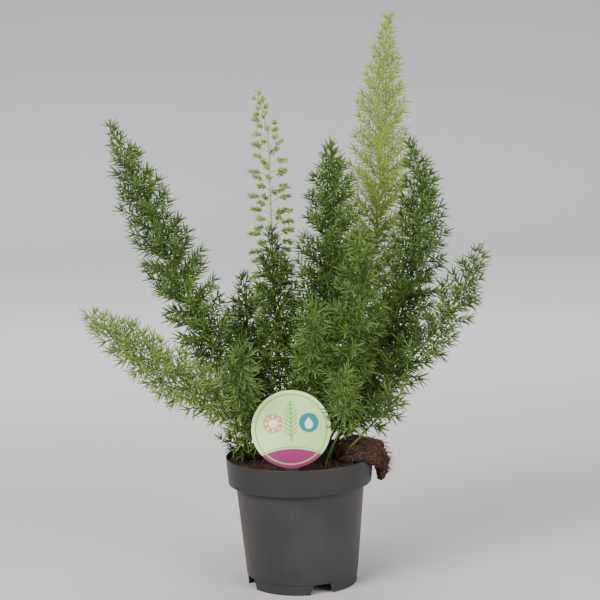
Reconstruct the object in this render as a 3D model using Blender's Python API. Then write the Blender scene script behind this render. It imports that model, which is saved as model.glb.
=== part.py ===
"""Foxtail fern in a moulded nursery pot, with its peat, a round stick-in label and eighteen leafy stems.

Lengths are in metres. The pot's axis stands at POT_AXIS, so that the origin is the middle of the
footprint of the whole plant, on the surface that the pot's foot ring rests on.
"""

import math
from random import Random

import bmesh
import bpy
import numpy as np
from mathutils import Matrix, Vector

MM = 0.001
POT_AXIS = (9.9 * MM, -1.6 * MM)

# Pot: a tapered cup of thin moulded plastic with a wide collar and a notched foot ring
POT_HEIGHT = 105.4 * MM
POT_WALL = 1.2 * MM
POT_SIDES = 48
RIM_RADIUS = 60.0 * MM
COLLAR_FOOT_RADIUS = 58.2 * MM
COLLAR_FOOT_Z = 84.1 * MM
BODY_TOP_RADIUS = 52.2 * MM
BODY_FOOT_RADIUS = 45.4 * MM
FOOT_RADIUS = 44.3 * MM
FOOT_HEIGHT = 8.2 * MM
FOOT_STEP = 0.5 * MM
BASE_PLATE_Z = 6.0 * MM
EDGE = 0.8 * MM
NOTCH_COUNT = 4
NOTCH_FIRST_ANGLE = math.radians(-69.6)
NOTCH_TOP_WIDTH = 14.0 * MM
NOTCH_FOOT_WIDTH = 21.0 * MM

# Peat: fills the pot, mounded at the crown, with one clump that lies over the rim at the right
GAP = 0.4 * MM
SOIL_LEVEL = 97.0 * MM
SOIL_SIDES = 32
SOIL_RINGS = 6
CLUMP_LUMPS = (
    # centre and half sizes of each lump of the clump: the heap, the saddle on the rim, the hanging crumb
    ((46, -9, 106), (17, 21, 15)),
    ((59, 1, 109), (9, 10, 5.5)),
    ((66.5, 3, 95), (5.3, 8, 13)),
)

# Label: one plate of thin plastic, a disc on a pointed stake
LABEL_RADIUS = 31.2 * MM
LABEL_THICKNESS = 0.8 * MM
LABEL_CENTRE = (-5.8 * MM, -46.0 * MM, 136.1 * MM)
STAKE_WIDTH = 11.0 * MM
STAKE_FOOT_Z = 46.0 * MM
STAKE_POINT = 12.0 * MM

# Foliage
STEM_DEPTH_Z = 80.0 * MM
STEM_SIDES = 5
STEM_STEP = 24.0 * MM
STEM_BASE_RADIUS = 1.35 * MM
STEM_TIP_RADIUS = 0.75 * MM
TWIG_RADIUS = 0.6 * MM
CLUSTER_LENGTH = 1.2 * MM
TWIG_SPACING = 16.5 * MM
GOLDEN_ANGLE = math.radians(137.508)
CLEAR_OF_OTHERS = 1.6 * MM
CLEAR_OF_OWN = 1.1 * MM

COLOURS = {
    "pot_plastic": ((0.085, 0.085, 0.08), 0.45),
    "peat": ((0.022, 0.011, 0.007), 0.95),
    "label_print": ((0.62, 0.76, 0.42), 0.35),
    "foliage": ((0.05, 0.115, 0.018), 0.5),
    "fresh_foliage": ((0.13, 0.24, 0.035), 0.5),
    "lime_foliage": ((0.24, 0.34, 0.05), 0.5),
    "shoot": ((0.30, 0.40, 0.12), 0.5),
}


class Plume:
    """One leafy stem: the line of its stem, how far its foliage reaches and what its needles are like."""

    def __init__(self, name, line, reach, material="foliage", needle=10.0, spacing=1.0, tufts=1, bare=0.10):
        self.name = name
        self.line = line
        self.reach = reach
        self.material = material
        self.needle = needle
        self.spacing = spacing
        self.tufts = tufts
        self.bare = bare


# The stem lines are in millimetres from the pot's axis and start where the stem leaves the peat
PLUMES = (
    Plume(
        "plume_tall_left", [(-23, 5, 104), (-57, 8, 173), (-91, 14, 247), (-119, 20, 310), (-146, 26, 379)],
        23,
    ),
    Plume(
        "plume_low_left",
        [(-21, -9, 104), (-57, -26, 150), (-90, -40, 173), (-130, -54, 208), (-170, -66, 243)],
        19, "fresh_foliage",
    ),
    Plume("plume_short_left", [(-16, 16, 105), (-34, 28, 154), (-40, 44, 201), (-43, 58, 250)], 19),
    Plume("plume_centre", [(-6, 4, 107), (-9, 16, 164), (-13, 24, 220), (-19, 32, 290)], 19),
    Plume("plume_centre_tall", [(5, -3, 107), (19, 3, 173), (28, 2, 239), (32, 0, 303), (31, -4, 361)], 26),
    Plume(
        "plume_lime",
        [(16, 14, 106), (45, 38, 166), (61, 52, 231), (72, 62, 313), (77, 70, 395), (84, 74, 461)],
        24, "lime_foliage", 8.5,
    ),
    Plume(
        "plume_right_tall",
        [(25, 4, 105), (60, 8, 159), (85, 8, 216), (101, 6, 276), (102, 2, 325), (93, -4, 361)], 22,
    ),
    Plume(
        "plume_right_side", [(25, -8, 104), (61, -20, 150), (91, -28, 187), (122, -34, 225), (152, -38, 286)],
        20,
    ),
    Plume(
        "plume_front_right", [(12, -15, 105), (34, -36, 164), (47, -51, 222), (52, -58, 270), (49, -62, 308)],
        20,
    ),
    Plume(
        "plume_front_left",
        [(-13, -19, 104), (-34, -31, 140), (-44, -52, 166), (-42, -84, 194), (-35, -113, 222)],
        19,
    ),
    Plume(
        "plume_front_centre", [(0, -20, 104), (6, -29, 150), (10, -44, 187), (14, -70, 220), (17, -94, 255)],
        18,
    ),
    Plume("plume_front_low", [(21, -23, 103), (33, -51, 138), (36, -86, 168), (31, -117, 200)], 18),
    Plume(
        "plume_right_low", [(32, -18, 103), (54, -37, 132), (71, -55, 154), (84, -70, 172)],
        17, "fresh_foliage",
    ),
    Plume("plume_back_left", [(-22, 27, 103), (-36, 58, 144), (-46, 92, 177), (-55, 121, 212)], 19),
    Plume("plume_back_centre", [(0, 24, 105), (14, 60, 159), (28, 92, 217), (38, 114, 276)], 20),
    Plume("plume_back_right", [(22, 28, 103), (52, 58, 150), (76, 90, 190), (95, 114, 245)], 20),
    Plume(
        "sprig_left", [(-36, -2, 102), (-48, -9, 116), (-59, -16, 121), (-69, -22, 119)],
        9, "foliage", 9.0,
    ),
)
YOUNG_SHOOT = Plume(
    "young_shoot",
    [(-9, 19, 106), (-15, 30, 162), (-17, 42, 235), (-18, 51, 308), (-19, 56, 362), (-27, 60, 397)],
    16, "shoot", 3.6, 1.0, 1, 0.40,
)


def remove_startup_objects():
    for obj in list(bpy.data.objects):
        bpy.data.objects.remove(obj)


def material(name):
    found = bpy.data.materials.get(name)
    if found:
        return found
    colour, roughness = COLOURS[name]
    made = bpy.data.materials.new(name)
    made.use_nodes = True
    shader = made.node_tree.nodes["Principled BSDF"]
    shader.inputs["Base Color"].default_value = (*colour, 1.0)
    shader.inputs["Roughness"].default_value = roughness
    shader.inputs["Metallic"].default_value = 0.0
    return made


def object_of(name, mesh, material_name, parent=None):
    obj = bpy.data.objects.new(name, mesh)
    obj.data.materials.clear()
    obj.data.materials.append(material(material_name))
    bpy.context.scene.collection.objects.link(obj)
    obj.parent = parent
    return obj


def mesh_of(name, points, faces):
    """A mesh with its normals turned outwards."""
    mesh = bpy.data.meshes.new(name)
    mesh.from_pydata([tuple(p) for p in points], [], [list(f) for f in faces])
    form = bmesh.new()
    form.from_mesh(mesh)
    bmesh.ops.recalc_face_normals(form, faces=form.faces)
    if form.calc_volume(signed=True) < 0:
        bmesh.ops.reverse_faces(form, faces=form.faces)
    form.to_mesh(mesh)
    form.free()
    return mesh


def hidden_cutter(name, mesh, parent):
    cutter = object_of(name, mesh, "pot_plastic", parent)
    cutter.hide_render = True
    cutter.display_type = "WIRE"
    return cutter


def boolean(obj, other, operation, solver="EXACT"):
    """Adds a Boolean against an object or a collection and applies it."""
    modifier = obj.modifiers.new(operation.lower(), "BOOLEAN")
    modifier.operation = operation
    modifier.solver = solver
    if isinstance(other, bpy.types.Collection):
        modifier.operand_type = "COLLECTION"
        modifier.collection = other
    else:
        modifier.object = other
    bpy.context.view_layer.update()
    graph = bpy.context.evaluated_depsgraph_get()
    result = bpy.data.meshes.new_from_object(obj.evaluated_get(graph))
    obj.modifiers.remove(modifier)
    obj.data = result


def one_closed_body(mesh):
    """Whether a mesh is one closed surface."""
    form = bmesh.new()
    form.from_mesh(mesh)
    closed = all(len(edge.link_faces) == 2 for edge in form.edges)
    reached = {form.verts[:][0]}
    front = list(reached)
    while front:
        vert = front.pop()
        beyond = {edge.other_vert(vert) for edge in vert.link_edges} - reached
        reached |= beyond
        front += beyond
    whole = len(reached) == len(form.verts)
    form.free()
    return closed and whole


def turned(profile, sides):
    """Points and faces of a profile of (radius, height) turned about the Z axis."""
    points, rings, faces = [], [], []
    for radius, height in profile:
        count = sides if radius > 0 else 1
        first = len(points)
        for i in range(count):
            angle = 2 * math.pi * i / sides
            points.append((radius * math.cos(angle), radius * math.sin(angle), height))
        rings.append([first + i % count for i in range(sides)])
    for low, high in zip(rings, rings[1:]):
        for i in range(sides):
            j = (i + 1) % sides
            corners = list(dict.fromkeys([low[i], low[j], high[j], high[i]]))
            if len(corners) > 2:
                faces.append(corners)
    return points, faces


# Pot

def inner_radius(height):
    """The radius of the inside of the collar at a height."""
    share = (height - COLLAR_FOOT_Z) / (POT_HEIGHT - COLLAR_FOOT_Z)
    return COLLAR_FOOT_RADIUS - POT_WALL + share * (RIM_RADIUS - COLLAR_FOOT_RADIUS)


def make_pot(parent):
    outside = [
        (FOOT_RADIUS, 0),
        (BODY_FOOT_RADIUS - FOOT_STEP, FOOT_HEIGHT),
        (BODY_FOOT_RADIUS, FOOT_HEIGHT + FOOT_STEP),
        (BODY_TOP_RADIUS, COLLAR_FOOT_Z - EDGE),
        (COLLAR_FOOT_RADIUS - EDGE, COLLAR_FOOT_Z - EDGE / 2),
        (COLLAR_FOOT_RADIUS, COLLAR_FOOT_Z + EDGE / 2),
        (RIM_RADIUS - EDGE / 4, POT_HEIGHT - EDGE / 2),
        (RIM_RADIUS - EDGE / 2, POT_HEIGHT),
    ]
    inside = [
        (RIM_RADIUS - POT_WALL, POT_HEIGHT),
        (inner_radius(COLLAR_FOOT_Z + POT_WALL), COLLAR_FOOT_Z + POT_WALL),
        (BODY_TOP_RADIUS - POT_WALL, COLLAR_FOOT_Z),
        (BODY_FOOT_RADIUS - POT_WALL, BASE_PLATE_Z + POT_WALL),
        (0, BASE_PLATE_Z + POT_WALL),
    ]
    underside = [(0, BASE_PLATE_Z), (FOOT_RADIUS - POT_WALL, BASE_PLATE_Z), (FOOT_RADIUS - POT_WALL, 0)]
    profile = outside + inside + underside
    points, faces = turned([*profile, profile[0]], POT_SIDES)
    count = len(points) - POT_SIDES
    faces = [[i - count if i >= count else i for i in face] for face in faces]
    pot = object_of("pot", mesh_of("pot", points[:count], faces), "pot_plastic", parent)
    boolean(pot, notch_cutter(parent), "DIFFERENCE")
    pot.data.shade_smooth()
    pot.data.set_sharp_from_angle(angle=math.radians(25))
    return pot


def notch_cutter(parent):
    """The drain notches: tapered openings through the foot ring and the edge of the base plate."""
    points, faces = [], []
    near, far = FOOT_RADIUS - 7 * MM, FOOT_RADIUS + 5 * MM
    for n in range(NOTCH_COUNT):
        turn = Matrix.Rotation(NOTCH_FIRST_ANGLE + n * 2 * math.pi / NOTCH_COUNT, 3, "Z")
        first = len(points)
        for radius in (near, far):
            for side in (-1, 1):
                points.append(turn @ Vector((radius, side * NOTCH_FOOT_WIDTH / 2, -2 * MM)))
                points.append(turn @ Vector((radius, side * NOTCH_TOP_WIDTH / 2, FOOT_HEIGHT)))
        for face in ((0, 2, 3, 1), (4, 5, 7, 6), (0, 1, 5, 4), (2, 6, 7, 3), (0, 4, 6, 2), (1, 3, 7, 5)):
            faces.append([first + i for i in face])
    return hidden_cutter("notch_cutter", mesh_of("notch_cutter", points, faces), parent)


# Peat

def soil_height(x, y):
    """The height of the peat's surface at a point, in metres from the pot's axis."""
    u, v = x / MM, y / MM
    mound = 8.5 * math.exp(-(u * u + v * v) / 900)
    left_bank = 6.0 * math.exp(-((u + 52) ** 2 + (v - 6) ** 2) / 420)
    right_bank = 5.0 * math.exp(-((u - 44) ** 2 + (v + 6) ** 2) / 500)
    lumps = 0.9 * math.sin(0.33 * u + 1.3) * math.cos(0.41 * v) + 0.6 * math.sin(0.71 * v + 0.5 * u)
    return SOIL_LEVEL + (mound + left_bank + right_bank + lumps) * MM


def make_soil(parent, plumes):
    bottom = BASE_PLATE_Z + POT_WALL + GAP
    ledge = COLLAR_FOOT_Z + POT_WALL + GAP
    sides = [
        (0, bottom),
        (BODY_FOOT_RADIUS - POT_WALL - 2 * GAP, bottom),
        (BODY_TOP_RADIUS - POT_WALL - 2 * GAP, COLLAR_FOOT_Z),
        (inner_radius(ledge) - 2 * GAP, ledge),
    ]
    edge = inner_radius(SOIL_LEVEL) - 1.5 * GAP
    top = [(edge * k / SOIL_RINGS, 0) for k in range(SOIL_RINGS, -1, -1)]
    points, faces = turned(sides + top, SOIL_SIDES)
    points = [(x, y, z if z > 0 else soil_height(x, y)) for x, y, z in points]
    soil = object_of("soil", mesh_of("soil", points, faces), "peat", parent)
    lumps = [lump(f"lump_{i}", centre, size, parent) for i, (centre, size) in enumerate(CLUMP_LUMPS)]
    for piece in lumps:
        boolean(soil, piece, "UNION")
    cutters = [rim_clearance(parent), stake_slot(parent)]
    cutters += [stem_hole(plume, parent) for plume in plumes]
    for cutter in cutters:
        boolean(soil, cutter, "DIFFERENCE")
        bpy.data.objects.remove(cutter)
    for piece in lumps:
        bpy.data.objects.remove(piece)
    return soil


def lump(name, centre, size, parent):
    """A rough lump of peat: a ball stretched to its size, with its surface raised and sunk by a formula."""
    form = bmesh.new()
    bmesh.ops.create_icosphere(form, subdivisions=2, radius=1.0)
    for vert in form.verts:
        x, y, z = vert.co
        rough = 1 + 0.10 * math.sin(7 * x + 3 * z) * math.cos(6 * y) + 0.08 * math.sin(11 * z + 5 * y)
        vert.co = Vector([(c + s * rough * q) * MM for c, s, q in zip(centre, size, (x, y, z))])
    mesh = bpy.data.meshes.new(name)
    form.to_mesh(mesh)
    form.free()
    return hidden_cutter(name, mesh, parent)


def rim_clearance(parent):
    """A ring round the pot's collar, a gap wider than the wall, that the clump must stay clear of."""
    low, high = COLLAR_FOOT_Z - 6 * MM, POT_HEIGHT + GAP
    profile = [
        (inner_radius(ledge_height()) - GAP, ledge_height()),
        (inner_radius(POT_HEIGHT) - GAP, high),
        (RIM_RADIUS + GAP, high),
        (RIM_RADIUS + GAP, low),
        (inner_radius(ledge_height()) - GAP, low),
    ]
    points, faces = turned([*profile, profile[0]], POT_SIDES)
    count = len(points) - POT_SIDES
    faces = [[i - count if i >= count else i for i in face] for face in faces]
    return hidden_cutter("rim_clearance", mesh_of("rim_clearance", points[:count], faces), parent)


def ledge_height():
    return COLLAR_FOOT_Z + POT_WALL


def stake_slot(parent):
    """The slot that the label's stake stands in."""
    x, y, _ = LABEL_CENTRE
    half = Vector((STAKE_WIDTH / 2 + GAP, LABEL_THICKNESS / 2 + GAP, 0))
    low, high = STAKE_FOOT_Z - GAP, POT_HEIGHT + 15 * MM
    points = [
        (x + i * half.x, y + j * half.y, z)
        for z in (low, high)
        for i, j in ((-1, -1), (1, -1), (1, 1), (-1, 1))
    ]
    faces = [(0, 3, 2, 1), (4, 5, 6, 7), (0, 1, 5, 4), (1, 2, 6, 5), (2, 3, 7, 6), (3, 0, 4, 7)]
    return hidden_cutter("stake_slot", mesh_of("stake_slot", points, faces), parent)


def stem_hole(plume, parent):
    """A plain hole round the lower end of a stem, in line with it."""
    centres, _, _ = stem_rings(plume)
    foot, mouth, above = centres[:3]
    low = foot - (mouth - foot).normalized() * GAP
    radius = STEM_BASE_RADIUS + 1.6 * GAP
    points, faces = tube([low, mouth, above], [radius] * 3, 6)
    return hidden_cutter("stem_hole", mesh_of("stem_hole", points, faces), parent)


# Label

def make_label(parent):
    x, y, z = LABEL_CENTRE
    half = STAKE_WIDTH / 2
    join = math.asin(half / LABEL_RADIUS)
    first, last = -math.pi / 2 + join, 3 * math.pi / 2 - join
    steps = 40
    angles = [first + (last - first) * i / steps for i in range(steps + 1)]
    outline = [(x + LABEL_RADIUS * math.cos(a), z + LABEL_RADIUS * math.sin(a)) for a in angles]
    shoulder = STAKE_FOOT_Z + STAKE_POINT
    outline += [(x - half, shoulder), (x, STAKE_FOOT_Z), (x + half, shoulder)]
    count = len(outline)
    depths = (y - LABEL_THICKNESS / 2, y + LABEL_THICKNESS / 2)
    points = [(u, depth, v) for depth in depths for u, v in outline]
    sides = [(i, (i + 1) % count, (i + 1) % count + count, i + count) for i in range(count)]
    faces = [list(range(count)), list(range(2 * count - 1, count - 1, -1)), *sides]
    return object_of("label", mesh_of("label", points, faces), "label_print", parent)


# Foliage

def smooth_line(points, share):
    """A point on the smooth curve through the points, share running from 0 to 1."""
    spans = len(points) - 1
    place = min(max(share, 0.0), 1.0) * spans
    k = min(int(place), spans - 1)
    t = place - k
    before = points[k - 1] if k else points[0] * 2 - points[1]
    after = points[k + 2] if k + 2 <= spans else points[-1] * 2 - points[-2]
    a, b = points[k], points[k + 1]
    return 0.5 * (
        2 * a
        + (b - before) * t
        + (2 * before - 5 * a + 4 * b - after) * t * t
        + (3 * a - before - 3 * b + after) * t * t * t
    )


def straight_line(centres, shares, share):
    """A point on the straight stretches between a stem's rings."""
    k = max(i for i in range(len(shares) - 1) if shares[i] <= share)
    return centres[k].lerp(centres[k + 1], (share - shares[k]) / (shares[k + 1] - shares[k]))


def stem_line(plume):
    """The stem's knots in metres: its buried foot, then the points of its line."""
    knots = [Vector(p) * MM for p in plume.line]
    lead = (knots[1] - knots[0]).normalized()
    depth = knots[0].z - STEM_DEPTH_Z
    foot = knots[0] - Vector((lead.x * 0.25, lead.y * 0.25, 1.0)) * depth
    return [foot, *knots]


def stem_rings(plume):
    """The rings of a stem from its buried foot to its tip: their centres, shares of the line and radii."""
    knots = stem_line(plume)
    buried = 1 / (len(knots) - 1)
    length = sum((b - a).length for a, b in zip(knots[1:], knots[2:]))
    count = max(4, round(length / STEM_STEP))
    shares = [0.0] + [buried + (1 - buried) * k / count for k in range(count + 1)]
    centres = [smooth_line(knots, s) for s in shares]
    thick = STEM_BASE_RADIUS * min(1.0, 0.72 + length / 0.9)
    radii = [thick + (STEM_TIP_RADIUS - thick) * max(0.0, (s - buried) / (1 - buried)) for s in shares]
    centres.append(centres[-1] + (centres[-1] - centres[-2]).normalized() * plume.needle * MM)
    shares.append(1.0 + shares[-1] - shares[-2])
    radii.append(STEM_TIP_RADIUS / 6)
    return centres, shares, radii


def across(direction):
    """Two unit vectors square to a direction."""
    helper = Vector((0, 0, 1)) if abs(direction.z) < 0.9 else Vector((1, 0, 0))
    first = direction.cross(helper).normalized()
    return first, direction.cross(first).normalized()


def tube(centres, radii, sides):
    """Points and faces of a closed tube along a line."""
    points, faces = [], []
    u, _ = across((centres[1] - centres[0]).normalized())
    for k, centre in enumerate(centres):
        ahead = (centres[min(k + 1, len(centres) - 1)] - centres[max(k - 1, 0)]).normalized()
        u = (u - ahead * u.dot(ahead)).normalized()
        v = ahead.cross(u)
        for i in range(sides):
            angle = 2 * math.pi * i / sides
            points.append(centre + (u * math.cos(angle) + v * math.sin(angle)) * radii[k])
    for k in range(len(centres) - 1):
        for i in range(sides):
            j = (i + 1) % sides
            a, b = k * sides, (k + 1) * sides
            faces += [(a + i, a + j, b + j), (a + i, b + j, b + i)]
    faces.append(tuple(range(sides - 1, -1, -1)))
    faces.append(tuple(range(len(points) - sides, len(points))))
    return points, faces


class Occupied:
    """Every stem, twig and needle placed so far, as straight stretches with an owner."""

    def __init__(self):
        self.starts, self.ends, self.owners = np.zeros((0, 3)), np.zeros((0, 3)), np.zeros(0, int)
        self.twigs = np.zeros(0, int)

    def add(self, start, end, owner, twig):
        self.starts = np.vstack([self.starts, np.array(start)])
        self.ends = np.vstack([self.ends, np.array(end)])
        self.owners = np.append(self.owners, owner)
        self.twigs = np.append(self.twigs, twig)

    def copy(self):
        return self.starts, self.ends, self.owners, self.twigs

    def restore(self, taken):
        self.starts, self.ends, self.owners, self.twigs = taken

    def free(self, start, end, owner, twig):
        """Whether a stretch is clear of everything but its own twig and its own stem."""
        gaps = stretch_gaps(np.array(start), np.array(end), self.starts, self.ends)
        others = self.owners != owner
        own = ~others & (self.twigs != twig) & (self.twigs >= 0)
        return not ((gaps < CLEAR_OF_OTHERS) & others).any() and not ((gaps < CLEAR_OF_OWN) & own).any()


def stretch_gaps(start, end, starts, ends):
    """The least distance between one straight stretch and each of many."""
    one, many, between = end - start, ends - starts, start - starts
    a, e = one @ one, np.einsum("ij,ij->i", many, many)
    b, c, f = many @ one, between @ one, np.einsum("ij,ij->i", many, between)
    spread = a * e - b * b
    s = np.clip(np.where(spread > 1e-18, (b * f - c * e) / np.maximum(spread, 1e-18), 0.0), 0, 1)
    t = np.clip((b * s + f) / e, 0, 1)
    s = np.clip((b * t - c) / a, 0, 1)
    apart = (start + s[:, None] * one) - (starts + t[:, None] * many)
    return np.linalg.norm(apart, axis=1)


def in_the_way(point):
    """Whether a point is in the pot's wall, the peat, its clump or the label, with room to spare."""
    x, y, z = point
    distance = math.hypot(x, y)
    room = 2 * MM
    if z < POT_HEIGHT + room and RIM_RADIUS - 5 * MM < distance < RIM_RADIUS + room:
        return True
    if distance < RIM_RADIUS - 4 * MM and z < soil_height(x, y) + room:
        return True
    for centre, size in CLUMP_LUMPS:
        if sum(((q / MM - c) / (s * 1.18 + 1.5)) ** 2 for q, c, s in zip(point, centre, size)) < 1:
            return True
    lx, ly, lz = LABEL_CENTRE
    on_disc = math.hypot(x - lx, z - lz) < LABEL_RADIUS + room
    on_stake = abs(x - lx) < STAKE_WIDTH / 2 + room and z < lz
    return abs(y - ly) < room and (on_disc or on_stake)


def stretch_blocked(start, end):
    return any(in_the_way(start.lerp(end, share)) for share in (0.25, 0.5, 0.75, 1.0))


def reach_at(plume, share):
    """How far the foliage reaches: narrow at the foot, fullest below the middle, pointed at the tip."""
    if share < 0.35:
        fullness = 0.62 + 0.38 * math.sin(math.pi / 2 * share / 0.35)
    else:
        fullness = math.cos(math.pi / 2 * ((share - 0.35) / 0.65) ** 1.5 * 0.80)
    return plume.reach * fullness * MM


class Twig:
    """A closed three-sided side twig whose needles grow out of its faces."""

    def __init__(self, root, direction, lift, length, spin):
        self.root, self.direction, self.lift, self.length, self.spin = root, direction, lift, length, spin
        self.points, self.faces, self.stretches = [], [], []
        self.side, _ = across(direction)

    def at(self, share):
        return self.root + self.direction * self.length * share + self.lift * self.length * share * share

    def ring(self, share, radius, phase):
        centre = self.at(share)
        ahead = (self.at(share + 0.05) - self.at(share - 0.05)).normalized()
        self.side = (self.side - ahead * self.side.dot(ahead)).normalized()
        u, v = self.side, ahead.cross(self.side)
        first = len(self.points)
        for i in range(3):
            angle = self.spin + phase + i * 2 * math.pi / 3
            self.points.append(centre + (u * math.cos(angle) + v * math.sin(angle)) * radius)
        return [first, first + 1, first + 2], ahead

    def plain(self, low, high):
        """A stretch between two rings that stand a sixth of a turn apart."""
        for i in range(3):
            j = (i + 1) % 3
            self.faces += [(low[i], low[j], high[i]), (low[j], high[j], high[i])]

    def cluster(self, low, high, ahead, needle, spread, is_free):
        """Three needles, one from each face of a short stretch of the twig."""
        for i in range(3):
            j = (i + 1) % 3
            corners = [low[i], low[j], high[j], high[i]]
            middle = sum((self.points[c] for c in corners), Vector()) / 4
            centre = sum((self.points[c] for c in low + high), Vector()) / 6
            outward = (middle - centre).normalized()
            tip = middle + (ahead * math.cos(spread) + outward * math.sin(spread)) * needle
            if is_free(middle, tip):
                self.points.append(tip)
                apex = len(self.points) - 1
                self.faces += [(corners[k], corners[(k + 1) % 4], apex) for k in range(4)]
                self.stretches.append((middle, tip))
            else:
                self.faces += [(low[i], low[j], high[j]), (low[i], high[j], high[i])]


def grow_twig(root, direction, lift, length, spin, needle, tufts, is_free):
    """A twig with clusters of needles along it and one needle at its end."""
    twig = Twig(root, direction, lift, length, spin)
    step = CLUSTER_LENGTH / length
    low, _ = twig.ring(0.0, TWIG_RADIUS * 0.75, 0.0)
    twig.faces.append(tuple(reversed(low)))
    last = 0.0
    for k in range(tufts):
        share = (k + 1) / tufts - step
        phase = (k + 1) * math.pi / 3
        start, _ = twig.ring(share, TWIG_RADIUS, phase)
        twig.plain(low, start)
        twig.stretches.append((twig.at(last), twig.at(share)))
        low, ahead = twig.ring(share + step, TWIG_RADIUS * 0.9, phase)
        spread = math.radians(58 - 12 * k)
        twig.cluster(start, low, ahead, needle, spread, is_free)
        last = share
    end = twig.at(1.0)
    tip = end + ahead * needle * 0.9
    if not is_free(end, tip):
        tip = end + ahead * needle * 0.35
    twig.points.append(tip)
    apex = len(twig.points) - 1
    twig.faces += [(low[i], low[(i + 1) % 3], apex) for i in range(3)]
    twig.stretches.append((end, tip))
    return twig


def grow_plume(plume, number, occupied, parent):
    """One node: the stem with its twigs. Its twigs are turned a little where their union isn't clean."""
    taken = occupied.copy()
    for attempt in range(8):
        stem = join_twigs(plume, number, math.radians(11 * attempt), occupied, parent)
        if one_closed_body(stem.data):
            return stem
        bpy.data.objects.remove(stem)
        occupied.restore(taken)
    raise RuntimeError(f"{plume.name} has no clean union")


def join_twigs(plume, number, turn, occupied, parent):
    """The stem with its twigs, joined by one union."""
    rng = Random(1000 + number)
    knots = stem_line(plume)
    buried = 1 / (len(knots) - 1)
    centres, shares, radii = stem_rings(plume)
    length = sum((b - a).length for a, b in zip(centres[1:], centres[2:]))
    points, faces = tube(centres, radii, STEM_SIDES)
    stem = object_of(plume.name, mesh_of(plume.name, points, faces), plume.material, parent)
    twigs = bpy.data.collections.new(plume.name + "_twigs")
    bpy.context.scene.collection.children.link(twigs)
    count = round(length / (TWIG_SPACING * plume.spacing))
    for i in range(count + 1):
        share = plume.bare + (1 - plume.bare) * (i / count) ** 0.94
        place = min(buried + (1 - buried) * share, 0.985)
        root = straight_line(centres, shares, place)
        tangent = (smooth_line(knots, place + 0.0005) - smooth_line(knots, place - 0.002)).normalized()
        make_twig(plume, number, i, share, root, tangent, turn, occupied, rng, twigs, parent)
    boolean(stem, twigs, "UNION", "MANIFOLD")
    for twig in list(twigs.objects):
        bpy.data.objects.remove(twig)
    bpy.data.collections.remove(twigs)
    return stem


def make_twig(plume, number, i, share, root, tangent, first_turn, occupied, rng, twigs, parent):
    """Grows one twig where it is free, turning or shortening it where its first place is taken."""
    u, v = across(tangent)
    needle = plume.needle * MM * rng.uniform(0.9, 1.1) * (1 - 0.15 * share)
    tilt = math.radians(68 - 24 * share + rng.uniform(-6, 6))
    outward = max(2.6 * MM, (reach_at(plume, share) - 0.72 * needle) / math.sin(tilt))
    for turn, shorter in ((0, 1), (30, 1), (-30, 1), (60, 0.8), (-60, 0.8), (15, 0.5), (90, 0.5)):
        angle = i * GOLDEN_ANGLE + number + first_turn + math.radians(turn)
        radial = u * math.cos(angle) + v * math.sin(angle)
        direction = tangent * math.cos(tilt) + radial * math.sin(tilt)
        lift = tangent * 0.12 + Vector((0, 0, 0.06))
        size = max(2.6 * MM, outward * shorter)
        start = root + direction * 0.25 * MM
        end = start + direction * size + lift * size

        def is_free(a, b):
            return not stretch_blocked(a, b) and occupied.free(a, b, number, i)

        if not is_free(start + direction * size * 0.15, end):
            continue
        tufts = 2 if size > 9 * MM and plume.name != "young_shoot" else plume.tufts
        twig = grow_twig(start, direction, lift, size, angle, needle, tufts, is_free)
        name = f"{plume.name}_twig_{i}"
        grown = bpy.data.objects.new(name, mesh_of(name, twig.points, twig.faces))
        grown.parent = parent
        twigs.objects.link(grown)
        for a, b in twig.stretches:
            occupied.add(a, b, number, i)
        return


def main():
    remove_startup_objects()
    plant = bpy.data.objects.new("plant", None)
    bpy.context.scene.collection.objects.link(plant)
    plant.location = (*POT_AXIS, 0)
    make_pot(plant)
    plumes = [*PLUMES, YOUNG_SHOOT]
    make_soil(plant, plumes)
    make_label(plant)
    occupied = Occupied()
    for number, plume in enumerate(plumes):
        knots = stem_line(plume)
        line = [smooth_line(knots, k / 20) for k in range(21)]
        for a, b in zip(line, line[1:]):
            occupied.add(a, b, number, -1)
    for number, plume in enumerate(plumes):
        grow_plume(plume, number, occupied, plant)


main()
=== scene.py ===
"""Foxtail fern in a nursery pot: the finished look of every piece, set over the packed model."""

import math

import bmesh
import bpy
from bpy.props import FloatProperty, FloatVectorProperty, IntProperty, PointerProperty
from mathutils import Matrix, Vector, noise


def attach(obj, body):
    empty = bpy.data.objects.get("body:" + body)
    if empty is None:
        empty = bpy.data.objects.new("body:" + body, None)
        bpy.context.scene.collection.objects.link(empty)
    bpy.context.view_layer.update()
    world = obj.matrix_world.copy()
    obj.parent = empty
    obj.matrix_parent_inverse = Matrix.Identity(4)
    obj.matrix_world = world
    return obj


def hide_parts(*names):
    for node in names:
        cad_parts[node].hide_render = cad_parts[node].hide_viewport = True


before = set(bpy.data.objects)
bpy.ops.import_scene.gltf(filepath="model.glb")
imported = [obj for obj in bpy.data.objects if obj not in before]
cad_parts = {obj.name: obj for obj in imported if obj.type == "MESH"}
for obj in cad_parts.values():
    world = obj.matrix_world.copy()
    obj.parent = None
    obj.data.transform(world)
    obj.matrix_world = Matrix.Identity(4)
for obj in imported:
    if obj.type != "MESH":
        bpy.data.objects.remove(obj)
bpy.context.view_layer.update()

bl_info = {
    "name": "Foxtail fern in a nursery pot",
    "version": (1, 0, 0),
    "blender": (4, 5, 0),
    "location": "3D View > Sidebar > Foxtail fern",
    "description": "Builds a potted foxtail fern: pot, peat, label and leafy stems",
    "category": "Object",
}

MM = 0.001
FULL_TURN = 2 * math.pi
POT_AXIS = Vector((9.9 * MM, -1.6 * MM, 0))


def length_prop(name, description, default):
    return FloatProperty(name=name, description=description, default=default, unit="LENGTH")


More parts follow.
